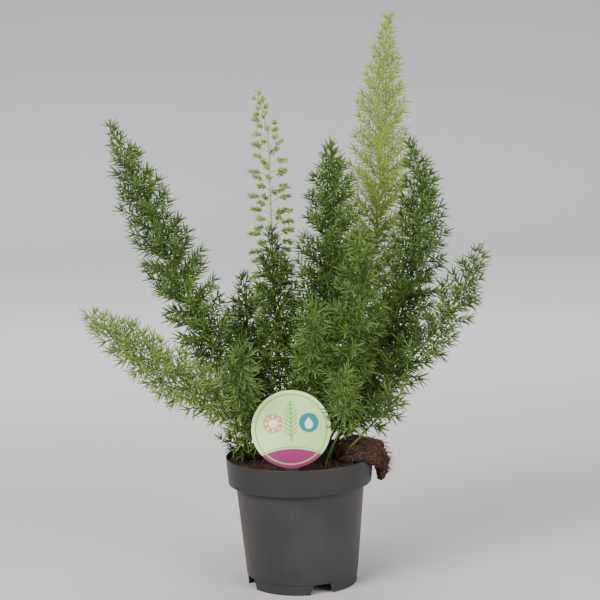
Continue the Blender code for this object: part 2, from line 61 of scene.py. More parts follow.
def colour_prop(name, description, default):
    return FloatVectorProperty(name=name, description=description, default=default, subtype="COLOR")


class PotSettings(bpy.types.PropertyGroup):
    """Sizes and colours of the nursery pot."""

    height: length_prop("Height", "Foot to lip", 0.1054)
    rim_radius: length_prop("Rim radius", "Outside of the lip", 0.0600)
    wall: length_prop("Wall", "Thickness of the plastic", 0.0012)
    colour: colour_prop("Plastic", "Colour of the plastic", (0.0230, 0.0222, 0.0214))
    worn_colour: colour_prop("Rubbed plastic", "Where it is scuffed", (0.048, 0.046, 0.044))


class PeatSettings(bpy.types.PropertyGroup):
    """The peat's level, grain and colours."""

    level: length_prop("Level", "Height at the pot's wall", 0.0970)
    crumbs: IntProperty(name="Crumbs", description="Loose crumbs to the square centimetre", default=9)
    fibres: IntProperty(name="Fibres", description="Loose fibres to the square centimetre", default=6)
    colour: colour_prop("Peat", "Colour of moist peat", (0.034, 0.018, 0.012))
    fibre_colour: colour_prop("Fibre", "Colour of its fibres", (0.200, 0.082, 0.045))


class LabelSettings(bpy.types.PropertyGroup):
    """The round stick-in label."""

    radius: length_prop("Radius", "Radius of the disc", 0.0312)
    thickness: length_prop("Thickness", "Of the sheet", 0.0008)
    pale: colour_prop("Ground", "Pale ground of the print", (0.64, 0.86, 0.40))
    green: colour_prop("Green", "Leaf green of the print", (0.22, 0.56, 0.10))
    plum: colour_prop("Plum", "Plum red of the print", (0.28, 0.035, 0.13))
    teal: colour_prop("Teal", "Teal of the print", (0.03, 0.26, 0.27))
    tan: colour_prop("Tan", "Tan of the print", (0.62, 0.42, 0.18))


class FoliageSettings(bpy.types.PropertyGroup):
    """The needles, twigs and stems."""

    needle: length_prop("Needle", "Length of a needle", 0.0104)
    needle_width: length_prop("Needle width", "Widest part", 0.00155)
    twig_spacing: length_prop("Twig spacing", "Along a stem", 0.00190)
    tuft_spacing: length_prop("Tuft spacing", "Along a twig", 0.0026)
    dark: colour_prop("Dark needles", "Shaded old needles", (0.023, 0.052, 0.011))
    bright: colour_prop("Bright needles", "Lit old needles", (0.140, 0.225, 0.042))
    fresh: colour_prop("Fresh needles", "Needles of younger stems", (0.225, 0.310, 0.080))
    lime: colour_prop("Lime needles", "Needles of the youngest plume", (0.34, 0.45, 0.068))


class StageSettings(bpy.types.PropertyGroup):
    """Camera and backdrop."""

    distance: length_prop("Distance", "Camera to pot, level", 1.4681)
    eye_height: length_prop("Eye height", "Camera above the floor", 0.4435)
    pitch: FloatProperty(name="Pitch", description="Downward tilt", default=0.1433, subtype="ANGLE")
    roll: FloatProperty(name="Roll", description="Turn of the picture", default=0.0279, subtype="ANGLE")
    lens: FloatProperty(name="Lens", description="Focal length in millimetres", default=111.0)


# Node trees


def operation(name):
    """A method of Wire that adds the Math or Vector Math node of that name."""
    return lambda wire, *others: wire.reckon(name, *others)


class Wire:
    """A socket of a node tree. Arithmetic on it adds the nodes that work it out."""

    def __init__(self, nodes, socket):
        self.nodes = nodes
        self.socket = socket

    def reckon(self, name, *others):
        terms = (self, *others)
        vectors = [w for w in terms if isinstance(w, Wire) and w.socket.type in ("VECTOR", "RGBA")]
        kind = "ShaderNodeVectorMath" if vectors else "ShaderNodeMath"
        return self.nodes.add(kind, {"operation": name}, dict(enumerate(terms)))

    __add__ = __radd__ = operation("ADD")
    __mul__ = __rmul__ = operation("MULTIPLY")
    __sub__ = operation("SUBTRACT")
    __truediv__ = operation("DIVIDE")
    __pow__ = operation("POWER")
    __gt__ = operation("GREATER_THAN")
    __lt__ = operation("LESS_THAN")
    at_most = operation("MINIMUM")
    at_least = operation("MAXIMUM")
    size = operation("ABSOLUTE")
    sin = operation("SINE")
    cos = operation("COSINE")
    fraction = operation("FRACT")
    exponential = operation("EXPONENT")

    def __rsub__(self, other):
        return self * -1.0 + other

    def __rtruediv__(self, other):
        return self ** -1.0 * other

    def rise(self, low, high):
        """0 below low and 1 above high, eased between. It falls instead where low is above high."""
        ends = {"From Min": min(low, high), "From Max": max(low, high)}
        if low > high:
            ends.update({"To Min": 1.0, "To Max": 0.0})
        settings = {"interpolation_type": "SMOOTHSTEP"}
        return self.nodes.add("ShaderNodeMapRange", settings, {"Value": self, **ends})

    def part(self, axis):
        return self.nodes.add("ShaderNodeSeparateXYZ", {}, {0: self}, axis)

    def parts(self):
        return [self.part(axis) for axis in "XYZ"]


class Nodes:
    """Adds nodes to one tree."""

    def __init__(self, tree):
        self.tree = tree

    def add(self, kind, settings=None, sockets=None, output=0, **named):
        """One node: its type, its settings, and the values or links of its sockets.

        Sockets are given by number or name, or as keywords, whose underscores stand for spaces.
        """
        node = self.tree.nodes.new(kind)
        for name, value in (settings or {}).items():
            setattr(node, name, value)
        self.feed(node, {**(sockets or {}), **named})
        return Wire(self, node.outputs[output])

    def surface(self, **sockets):
        """Feeds the shader of a material's tree."""
        self.feed(self.tree.nodes["Principled BSDF"], sockets)

    def feed(self, node, sockets):
        for key, value in sockets.items():
            self.plug(self.open_socket(node, key), value)

    @staticmethod
    def open_socket(node, key):
        if isinstance(key, int):
            return node.inputs[key]
        return next(s for s in node.inputs if s.name == key.replace("_", " ") and s.enabled)

    def plug(self, socket, value):
        if isinstance(value, Wire):
            self.tree.links.new(value.socket, socket)
        elif isinstance(value, (int, float)) and socket.type == "VECTOR":
            socket.default_value = [value] * 3
        elif socket.type == "RGBA":
            socket.default_value = (*value, 1.0)
        else:
            socket.default_value = value

    def sibling(self, wire, output):
        return Wire(self, wire.socket.node.outputs[output])

    def mix(self, share, first, second):
        """A colour between two colours."""
        return self.add("ShaderNodeMix", {"data_type": "RGBA"}, output=2, Factor=share, A=first, B=second)

    def vector(self, x, y, z):
        return self.add("ShaderNodeCombineXYZ", {}, {0: x, 1: y, 2: z})

    def noise(self, place, scale, detail=3.0, roughness=0.5):
        return self.add("ShaderNodeTexNoise", Vector=place, Scale=scale, Detail=detail, Roughness=roughness)

    def random(self, low, high, seed):
        """A random number, or a random vector where the ends are vectors."""
        of_vectors = isinstance(low, tuple)
        settings = {"data_type": "FLOAT_VECTOR" if of_vectors else "FLOAT"}
        output = 0 if of_vectors else 1
        return self.add("FunctionNodeRandomValue", settings, output=output, Min=low, Max=high, Seed=seed)

    def instances(self, points, instance, rotation, scale):
        """One real copy of the instance on every point."""
        placing = {"Points": points, "Instance": instance, "Rotation": rotation, "Scale": scale}
        return self.add("GeometryNodeInstanceOnPoints", {}, placing)

    def real(self, geometry):
        return self.add("GeometryNodeRealizeInstances", Geometry=geometry)

    def smooth(self, geometry):
        return self.add("GeometryNodeSetShadeSmooth", Geometry=geometry)

    def painted(self, geometry, material):
        return self.add("GeometryNodeSetMaterial", Geometry=geometry, Material=material)

    def moved(self, geometry, offset):
        return self.add("GeometryNodeSetPosition", Geometry=geometry, Offset=offset)

    def line(self, start, end, count):
        """A straight curve with a number of points."""
        curve = self.add("GeometryNodeCurvePrimitiveLine", {"mode": "POINTS"}, Start=start, End=end)
        return self.add("GeometryNodeResampleCurve", Curve=curve, Count=count)

    def tube(self, curve, radius, sides):
        ring = self.add("GeometryNodeCurvePrimitiveCircle", Resolution=sides, Radius=1.0)
        return self.add("GeometryNodeCurveToMesh", Curve=curve, Profile_Curve=ring, Scale=radius,
                        Fill_Caps=True)

    def join(self, *pieces):
        node = self.tree.nodes.new("GeometryNodeJoinGeometry")
        for piece in reversed(pieces):
            self.tree.links.new(piece.socket, node.inputs[0])
        return Wire(self, node.outputs[0])

    def lead_out(self, geometry):
        self.tree.links.new(geometry.socket, self.tree.nodes["Result"].inputs[0])


SOCKET_KINDS = {float: "NodeSocketFloat", int: "NodeSocketInt", type(None): "NodeSocketMaterial"}


def new_tree(name, inputs):
    """A geometry tree with a geometry input, the named inputs and a geometry output.

    Each input is given by its default. One without a default is a material.
    """
    tree = bpy.data.node_groups.new(name, "GeometryNodeTree")
    tree.interface.new_socket("Geometry", in_out="INPUT", socket_type="NodeSocketGeometry")
    tree.interface.new_socket("Geometry", in_out="OUTPUT", socket_type="NodeSocketGeometry")
    for label, default in inputs.items():
        kind = SOCKET_KINDS[type(default)]
        socket = tree.interface.new_socket(label, in_out="INPUT", socket_type=kind)
        if default is not None:
            socket.default_value = default
    nodes = Nodes(tree)
    group = tree.nodes.new("NodeGroupInput")
    tree.nodes.new("NodeGroupOutput").name = "Result"
    given = {socket.name: Wire(nodes, socket) for socket in group.outputs if socket.name}
    return tree, nodes, given


def set_inputs(modifier, values):
    """Sets a modifier's inputs through their sockets' identifiers."""
    for item in modifier.node_group.interface.items_tree:
        if item.item_type == "SOCKET" and item.in_out == "INPUT" and item.name in values:
            modifier[item.identifier] = values[item.name]


def shader(name, **sockets):
    """A material, its node helper and the object's own coordinates."""
    material = bpy.data.materials.new(name)
    material.use_nodes = True
    nodes = Nodes(material.node_tree)
    nodes.surface(**sockets)
    return material, nodes, nodes.add("ShaderNodeTexCoord", output="Object")


def relief(nodes, height, depth):
    """Feeds a height in units of depth into the shader's normal."""
    nodes.surface(Normal=nodes.add("ShaderNodeBump", Height=height, Distance=depth, Strength=1.0))


def shaded(colour, share):
    return [c * share for c in colour]


# Materials


def pot_plastic(settings):
    """Matt moulded plastic, scuffed and dusty, with painted shade near the floor, on the collar and under
    it.
    """
    material, nodes, place = shader("moulded_pot_plastic", IOR=1.46)
    collar_foot = 0.0835
    patches = nodes.noise(place, 22.0, 4.0, 0.55).rise(0.40, 0.72)
    x, y, z = place.parts()
    upright = nodes.vector(x * 260.0, y * 260.0, z * 22.0)
    scratches = nodes.noise(upright, 1.0, 2.0, 0.6).rise(0.60, 0.78)
    dust = nodes.noise(place, 160.0, 3.0, 0.6).rise(0.55, 0.85)
    colour = nodes.mix(patches * 0.38, settings.colour, settings.worn_colour)
    colour = nodes.mix(scratches * 0.15, colour, settings.worn_colour)
    colour = nodes.mix(dust * 0.025, colour, (0.30, 0.28, 0.25))
    # Painted shade: darker near the floor, a painted shadow of the foliage over the collar, and a painted
    # contact shadow in a band just under the collar.
    painted_shadow_under_collar = z.rise(0.0780, 0.0832) * z.rise(0.0842, 0.0836)
    shade = z.rise(0.030, 0.0) * 0.35 + z.rise(collar_foot, 0.0850) * 0.75 + painted_shadow_under_collar * 0.9
    colour = nodes.mix(shade, colour, shaded(settings.colour, 0.50))
    nodes.surface(Base_Color=colour, Roughness=patches * 0.16 + scratches * 0.10 + 0.42)
    grain = nodes.noise(place, 900.0, 2.0, 0.5)
    relief(nodes, grain * 0.5 + scratches * 0.4, 0.00006)
    return material


def peat(settings):
    material, nodes, place = shader("moist_peat", Roughness=0.95)
    coarse = nodes.noise(place, 140.0, 5.0, 0.65)
    fine = nodes.noise(place, 900.0, 4.0, 0.6)
    colour = nodes.mix(coarse.rise(0.35, 0.70), shaded(settings.colour, 0.45), settings.colour)
    colour = nodes.mix(fine.rise(0.55, 0.80) * 0.7, colour, settings.fibre_colour)
    nodes.surface(Base_Color=colour)
    relief(nodes, coarse * 0.6 + fine * 0.4, 0.0012)
    return material


def peat_fibre(settings):
    material, nodes, place = shader("peat_fibre", Roughness=0.9)
    tone = nodes.noise(place, 300.0, 2.0, 0.6)
    colour = nodes.mix(tone.rise(0.35, 0.65), shaded(settings.fibre_colour, 0.35), settings.fibre_colour)
    nodes.surface(Base_Color=colour)
    return material


def needle_green(name, dark, bright):
    """Green that varies from needle to needle, paler towards each needle's tip."""
    material, nodes, place = shader(name, IOR=1.42, Specular_IOR_Level=0.3)
    tone, along, leafy = [
        nodes.add("ShaderNodeAttribute", {"attribute_name": attribute}, output="Fac")
        for attribute in ("tone", "along", "leafy")
    ]
    patch = nodes.noise(place, 18.0, 2.0, 0.5)
    share = (tone * 0.75 + patch * 0.7 - 0.25).at_least(0.0).at_most(1.0)
    colour = nodes.mix(share, dark, bright)
    pale = [min(1.0, c * 1.35 + 0.02) for c in bright]
    colour = nodes.mix(along.rise(0.55, 1.0) * 0.35, colour, pale)
    stem = nodes.mix(patch.rise(0.3, 0.7), dark, bright)
    veins = nodes.noise(place, 1500.0, 2.0, 0.5)
    nodes.surface(Base_Color=nodes.mix(leafy, stem, colour), Roughness=veins * 0.2 + 0.38)
    return material


def label_print(settings, centre):
    """A generic care label: a pale ground with a plum band, a sun, a drop and a sprig in a ring."""
    material, nodes, place = shader("label_print", IOR=1.5, Specular_IOR_Level=0.3)
    x, y, z = (place - centre).parts()
    # Across and up the disc, in radii
    u, v = x / settings.radius, z / settings.radius
    soft = 0.012
    cream, water, sheet = (0.95, 0.93, 0.85), (0.90, 0.95, 0.95), (0.84, 0.86, 0.80)
    # The stake colour is painted shade: a near-black that stands in for the shadow the stake sits in below
    # the disc.
    stake, soil = (0.035, 0.036, 0.032), (0.05, 0.03, 0.02)

    def from_point(cu, cv):
        du, dv = u - cu, v - cv
        return (du * du + dv * dv) ** 0.5, du, dv

    def below(value, edge):
        return value.rise(edge + soft, edge - soft)

    arch = v + u * u * 0.28
    colour = nodes.mix((v - u * 0.5).rise(0.1, -1.3) * 0.55, settings.pale, settings.green)
    colour = nodes.mix(below(arch, -0.50), colour, settings.plum)
    band_edge = below(arch, -0.44) * (1.0 - below(arch, -0.47))
    colour = nodes.mix(band_edge, colour, settings.green)

    from_sun, du, dv = from_point(-0.45, 0.16)
    colour = nodes.mix(below(from_sun, 0.25), colour, settings.tan)
    colour = nodes.mix(below(from_sun, 0.115), colour, cream)
    angle = nodes.add("ShaderNodeMath", {"operation": "ARCTAN2"}, {0: dv, 1: du})
    rays = (angle * 8.0).cos().rise(0.35, 0.55) * below(from_sun, 0.205) * (1.0 - below(from_sun, 0.145))
    colour = nodes.mix(rays, colour, cream)

    from_drop, du, dv = from_point(0.45, 0.16)
    colour = nodes.mix(below(from_drop, 0.25), colour, settings.teal)
    taper = dv.rise(-0.02, 0.17)
    tip = below(du.size() + taper * 0.10, 0.10) * dv.rise(-0.13, -0.10) * dv.rise(0.17, 0.15)
    bowl = below((du * du + (dv + 0.055) * (dv + 0.055)) ** 0.5, 0.098)
    colour = nodes.mix((bowl + tip * dv.rise(-0.06, -0.04)).at_most(1.0), colour, water)

    sprig = below(u.size(), 0.022) * v.rise(-0.32, -0.30) * v.rise(0.72, 0.70)
    leaves = ((v - u.size() * 0.9) * 9.0).fraction()
    leaf = leaves.rise(0.10, 0.22) * leaves.rise(0.62, 0.50) * u.size().rise(0.17, 0.145)
    leaf = leaf * v.rise(-0.20, -0.16) * (v + u.size() * 1.9).rise(0.80, 0.74)
    colour = nodes.mix((sprig + leaf).at_most(1.0), colour, settings.green)
    from_centre = (u * u + v * v) ** 0.5
    ring = from_centre.rise(0.88 - soft, 0.88 + soft) * below(from_centre, 0.915)
    colour = nodes.mix(ring, colour, settings.green)

    facing = (y * -1.0).rise(settings.thickness * 0.30, settings.thickness * 0.45)
    colour = nodes.mix(facing, sheet, colour)
    # Painted shade: outside the disc, the stake takes the dark stake colour.
    colour = nodes.mix(from_centre.rise(1.01, 0.995), stake, colour)
    grain = nodes.noise(place, 700.0, 2.0, 0.5)
    low_down = z.rise(0.112 - centre.z, 0.100 - centre.z)
    soil_marks = nodes.noise(place, 120.0, 4.0, 0.6).rise(0.62, 0.80) * low_down
    colour = nodes.mix(soil_marks, colour, soil)
    nodes.surface(Base_Color=colour, Roughness=grain * 0.15 + 0.26)
    return material


# Meshes


def new_object(name, mesh, *materials):
    obj = bpy.data.objects.new(name, mesh)
    for material in materials:
        obj.data.materials.append(material)
    bpy.context.scene.collection.objects.link(obj)
    return obj


def mesh_of(name, points, faces, edges=()):
    """A mesh whose faces, if it has any, point outwards."""
    mesh = bpy.data.meshes.new(name)
    mesh.from_pydata([tuple(p) for p in points], list(edges), [tuple(f) for f in faces])
    if faces:
        form = bmesh.new()
        form.from_mesh(mesh)
        bmesh.ops.recalc_face_normals(form, faces=form.faces)
        if form.calc_volume(signed=True) < 0:
            bmesh.ops.reverse_faces(form, faces=form.faces)
        form.to_mesh(mesh)
        form.free()
    return mesh


def combine(obj, other, kind, solver="EXACT"):
    """Adds a Boolean modifier."""
    modifier = obj.modifiers.new(kind.lower(), "BOOLEAN")
    modifier.operation, modifier.solver, modifier.object = kind, solver, other


def settle(obj, *helpers):
    """Turns an object with its modifiers into a plain mesh and removes the helpers."""
    bpy.context.view_layer.update()
    graph = bpy.context.evaluated_depsgraph_get()
    shaped = obj.evaluated_get(graph)
    result = bpy.data.meshes.new_from_object(shaped, preserve_all_data_layers=True, depsgraph=graph)
    obj.modifiers.clear()
    obj.data = result
    for helper in helpers:
        bpy.data.objects.remove(helper)


def smooth_but_for(obj, degrees):
    """Smooth shading, with edges kept sharp from an angle on."""
    obj.data.shade_smooth()
    obj.data.set_sharp_from_angle(angle=math.radians(degrees))


def turned(profile, sides):
    """Points and faces of a closed profile turned about the pot's axis.

    The profile has a radius and a height for each point, or a function that gives the height at x and y.
    """
    points, rings, faces = [], [], []
    for radius, height in profile:
        count = sides if radius > 0 else 1
        first = len(points)
        for i in range(count):
            angle = FULL_TURN * i / sides
            x, y = radius * math.cos(angle), radius * math.sin(angle)
            points.append(POT_AXIS + Vector((x, y, height(x, y) if callable(height) else height)))
        rings.append([first + i % count for i in range(sides)])
    for low, high in zip(rings, rings[1:] + rings[:1]):
        for i in range(sides):
            j = (i + 1) % sides
            corners = list(dict.fromkeys([low[i], low[j], high[j], high[i]]))
            if len(corners) > 2:
                faces.append(corners)
    return points, faces


def rounded(corners, steps=4):
    """A closed profile of radius and height, from corners whose third number is their rounding."""
    result = []
    sharp = [Vector(corner[:2]) for corner in corners]
    for i, here in enumerate(sharp):
        rounding = corners[i][2]
        if not rounding:
            result.append(tuple(here))
            continue
        before = (sharp[i - 1] - here).normalized()
        after = (sharp[(i + 1) % len(sharp)] - here).normalized()
        reach = rounding / math.tan(before.angle(after) / 2)
        start, end = here + before * reach, here + after * reach
        for k in range(steps + 1):
            t = k / steps
            result.append(tuple(start * (1 - t) ** 2 + here * 2 * t * (1 - t) + end * t * t))
    return result


def register_piece(obj, *nodes, slot):
    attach(obj, "root")
    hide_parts(*nodes)


# Pot


class FERN_OT_pot(bpy.types.Operator):
    """Makes the nursery pot: collar, tapered wall, base plate and notched foot ring"""

    bl_idname = "fern.pot"
    bl_label = "Nursery pot"

    def execute(self, context):
        s = context.scene.fern_pot
        wall, rim, lip = s.wall, s.rim_radius, s.height
        collar_foot, collar_z = 0.0582, 0.0841
        body_top, body_foot, foot = 0.0522, 0.0454, 0.0443
        foot_height, plate_top, plate_foot = 0.0082, 0.0072, 0.0060
        # Radius, height and rounding, up the outside and down the inside
        corners = [
            (foot, 0.0, 0.0003), (body_foot - 0.0006, foot_height, 0.0002), (body_foot, 0.0087, 0.0002),
            (body_top, collar_z - 0.0008, 0.0008), (collar_foot, collar_z - 0.0004, 0.0008),
            (rim - 0.0002, lip, 0.0005), (rim - wall, lip, 0.0004),
            (collar_foot - wall, collar_z + wall, 0.0008), (body_top - wall, collar_z + wall * 0.6, 0.0008),
            (body_foot - wall, plate_top, 0.0008), (0.0, plate_top, 0), (0.0, plate_foot, 0),
            (foot - wall, plate_foot, 0.0004), (foot - wall, 0.0, 0.0003),
        ]
        points, faces = turned(rounded(corners), 144)
        pot = new_object("nursery_pot", mesh_of("nursery_pot", points, faces), pot_plastic(s))
        cutter = new_object("notches", self.notches(foot, foot_height))
        combine(pot, cutter, "DIFFERENCE")
        settle(pot, cutter)
        smooth_but_for(pot, 32)
        register_piece(pot, "pot", slot="pot_plastic")
        return {"FINISHED"}

    @staticmethod
    def notches(foot, height):
        """Four wedges, wider at the floor, that cut the drain notches out of the foot ring."""
        first_angle, foot_half, top_half = -69.6, 0.0105, 0.0070
        points, faces = [], []
        for n in range(4):
            turn = Matrix.Rotation(math.radians(first_angle + 90 * n), 3, "Z")
            first = len(points)
            for radius in (foot - 0.007, foot + 0.005):
                for side in (-1, 1):
                    points.append(POT_AXIS + turn @ Vector((radius, side * foot_half, -0.002)))
                    points.append(POT_AXIS + turn @ Vector((radius, side * top_half, height)))
            for face in ((0, 2, 3, 1), (4, 5, 7, 6), (0, 1, 5, 4), (2, 6, 7, 3), (0, 4, 6, 2), (1, 3, 7, 5)):
                faces.append([first + i for i in face])
        return mesh_of("notches", points, faces)


# Peat

# Centre and half sizes of each lump of the clump over the rim, in millimetres from the pot's axis
CLUMP_LUMPS = (
    ((46, -9, 106), (17, 21, 15)),
    ((59, 1, 109), (9, 10, 5.5)),
    ((66.5, 3, 95), (5.3, 8, 13)),
)


def soil_height(x, y, level):
    """Height of the peat's surface, x and y counted from the pot's axis."""
    u, v = x / MM, y / MM
    mound = 8.5 * math.exp(-(u * u + v * v) / 900)
    left_bank = 6.0 * math.exp(-((u + 52) ** 2 + (v - 6) ** 2) / 420)
    right_bank = 5.0 * math.exp(-((u - 44) ** 2 + (v + 6) ** 2) / 500)
    lumps = 0.9 * math.sin(0.33 * u + 1.3) * math.cos(0.41 * v) + 0.6 * math.sin(0.71 * v + 0.5 * u)
    return level + (mound + left_bank + right_bank + lumps) * MM


def on_lump(point, centre, size):
    """Where a point of a ball lies on a rough lump."""
    x, y, z = point
    rough = 1 + 0.10 * math.sin(7 * x + 3 * z) * math.cos(6 * y) + 0.08 * math.sin(11 * z + 5 * y)
    return Vector([(c + h * rough * q) * MM for c, h, q in zip(centre, size, point)]) + POT_AXIS


class FERN_OT_peat(bpy.types.Operator):
    """Makes the peat with its clump over the rim, its crumbs and its fibres"""

    bl_idname = "fern.peat"
    bl_label = "Peat"

    def execute(self, context):
        s = context.scene.fern_peat
        body = new_object("peat_body", self.body_mesh(s.level), peat(s))
        self.add_clump(body)
        self.clear_collar(body)
        self.roughen(body.data)
        body.data.shade_smooth()
        modifier = body.modifiers.new("grain", "NODES")
        modifier.node_group = scatter_tree()
        to_square_metre = 1e4
        set_inputs(modifier, {
            "Crumbs": s.crumbs * to_square_metre, "Fibres": s.fibres * to_square_metre,
            "Fibre Material": peat_fibre(s), "Peat Material": body.data.materials[0],
        })
        settle(body)
        body.name = "potting_peat"
        register_piece(body, "soil", slot="peat")
        return {"FINISHED"}

    @staticmethod
    def body_mesh(level):
        rings, edge = 16, 0.0573
        profile = [(0, 0.0078), (0.0434, 0.0078), (0.0500, 0.0836), (0.0562, 0.0862)]
        profile += [(edge * k / rings, lambda x, y: soil_height(x, y, level)) for k in range(rings, -1, -1)]
        return mesh_of("peat_body", *turned(profile, 72))

    @staticmethod
    def add_clump(body):
        """Joins the clump's lumps to the peat and evens out the mesh."""
        lumps = []
        for centre, size in CLUMP_LUMPS:
            form = bmesh.new()
            bmesh.ops.create_icosphere(form, subdivisions=4, radius=1.0)
            for vert in form.verts:
                vert.co = on_lump(vert.co, centre, size)
            mesh = bpy.data.meshes.new("lump")
            form.to_mesh(mesh)
            form.free()
            lumps.append(new_object("lump", mesh))
            combine(body, lumps[-1], "UNION")
        settle(body, *lumps)
        remesh = body.modifiers.new("remesh", "REMESH")
        remesh.mode, remesh.voxel_size = "VOXEL", 0.0016
        settle(body)

    @staticmethod
    def clear_collar(body):
        """Cuts the pot's collar, with a little room, out of the peat."""
        room = [(0.0560, 0.0784), (0.0606, 0.0784), (0.0606, 0.1062), (0.0579, 0.1062), (0.0562, 0.0850)]
        cutter = new_object("collar_room", mesh_of("collar_room", *turned(room, 96)))
        combine(body, cutter, "DIFFERENCE", "MANIFOLD")
        settle(body, cutter)

    @staticmethod
    def roughen(mesh):
        """Raises and sinks the free surface by layered noise, the most on the crumb that hangs outside."""
        inner_wall, outside, rim = 0.0555, 0.0615, 0.107
        normals = [vert.normal.copy() for vert in mesh.vertices]
        for vert, normal in zip(mesh.vertices, normals):
            x, y, z = place = vert.co - POT_AXIS
            distance = math.hypot(x, y)
            free = 0.0
            if distance > outside:
                free = 1.7
            elif distance < inner_wall or z > rim:
                free = min(1.0, max(0.0, (z - 0.088) / 0.006))
            height = noise.fractal(place * 210, 0.7, 2.2, 4) * 0.9 + noise.noise(place * 700) * 0.35
            vert.co += normal * height * free * MM


def scatter_tree():
    """Crumbs and fibres strewn over the upper faces of a mesh."""
    tree, nodes, given = new_tree("Peat grain", {
        "Crumbs": 110000.0, "Fibres": 60000.0, "Crumb Size": 0.0011, "Fibre Length": 0.0085,
        "Fibre Radius": 0.00016, "Peat Material": None, "Fibre Material": None,
    })
    surface = given["Geometry"]
    x, y, z = (nodes.add("GeometryNodeInputPosition") - tuple(POT_AXIS)).parts()
    distance = (x * x + y * y) ** 0.5
    up = nodes.add("GeometryNodeInputNormal").part("Z")
    lowest, inner_wall, outside, lip, hanging = 0.090, 0.0552, 0.062, 0.1075, 0.0625
    top = (z > lowest) * ((distance < inner_wall) + (distance > outside) + (z > lip)).at_most(1.0)
    top = top * ((up > -0.2) + (distance > hanging)).at_most(1.0)
    clump = (x > 0.036) * 1.6 + (distance > 0.0605) * 2.4 + 1.0

    def strewn(density, seed):
        return nodes.add("GeometryNodeDistributePointsOnFaces", Mesh=surface, Selection=top,
                         Density=density * clump, Seed=seed)

    ball = nodes.add("GeometryNodeMeshIcoSphere", output="Mesh", Radius=1.0, Subdivisions=1)
    dents = nodes.add("ShaderNodeTexNoise", output="Color", Scale=1.1)
    lumpy = nodes.moved(ball, (dents - (0.5, 0.5, 0.5)) * 1.2)
    sizes = nodes.random((0.35, 0.35, 0.3), (1.35, 1.2, 0.9), 4) * given["Crumb Size"]
    turns = nodes.random((0, 0, 0), (6.28, 6.28, 6.28), 5)
    crumbs = nodes.real(nodes.instances(strewn(given["Crumbs"], 3), lumpy, turns, sizes))
    crumbs = nodes.painted(crumbs, given["Peat Material"])

    fibre = nodes.line((-0.5, 0, 0), (0.5, 0, 0), 6)
    along = nodes.add("GeometryNodeInputPosition").part("X")
    bend = nodes.vector(0.0, (along * 5.0).sin() * 0.14, 0.10 - along * along * 0.5)
    lengths = nodes.random(0.35, 1.5, 7) * given["Fibre Length"]
    turns = nodes.random((-0.5, -0.7, 0), (0.5, 0.7, 6.28), 8)
    fibres = nodes.instances(strewn(given["Fibres"], 11), nodes.moved(fibre, bend), turns, lengths)
    fibres = nodes.tube(nodes.real(fibres), given["Fibre Radius"], 4)
    fibres = nodes.painted(nodes.smooth(fibres), given["Fibre Material"])
    nodes.lead_out(nodes.join(surface, crumbs, fibres))
    return tree


# Label

LABEL_CENTRE = Vector((-5.8, -46.0, 136.1)) * MM + POT_AXIS


class FERN_OT_label(bpy.types.Operator):
    """Makes the round label with its pointed stake"""

    bl_idname = "fern.label"
    bl_label = "Label"

    def execute(self, context):
        s = context.scene.fern_label
        half, foot, point, blunt = 0.0055, 0.046, 0.012, 0.0004
        join = math.asin(half / s.radius)
        first, last = -math.pi / 2 + join, 3 * math.pi / 2 - join
        steps = 120
        outline = []
        for i in range(steps + 1):
            angle = first + (last - first) * i / steps
            outline.append((s.radius * math.cos(angle), LABEL_CENTRE.z + s.radius * math.sin(angle)))
        outline += [(-half, foot + point), (-half * 0.12, foot + blunt), (half * 0.12, foot + blunt),
                    (half, foot + point)]
        count = len(outline)
        points = []
        for depth in (-s.thickness / 2, s.thickness / 2):
            points += [LABEL_CENTRE * Vector((1, 1, 0)) + Vector((u, depth, v)) for u, v in outline]
        faces = [list(range(count)), list(range(2 * count - 1, count - 1, -1))]
        faces += [(i, (i + 1) % count, (i + 1) % count + count, i + count) for i in range(count)]
        label = new_object("care_label", mesh_of("care_label", points, faces), label_print(s, LABEL_CENTRE))
        bevel = label.modifiers.new("edge", "BEVEL")
        bevel.width, bevel.segments, bevel.limit_method = 0.00018, 2, "ANGLE"
        bevel.angle_limit = math.radians(50)
        settle(label)
        smooth_but_for(label, 30)
        register_piece(label, "label", slot="label_print")
        return {"FINISHED"}


# Foliage

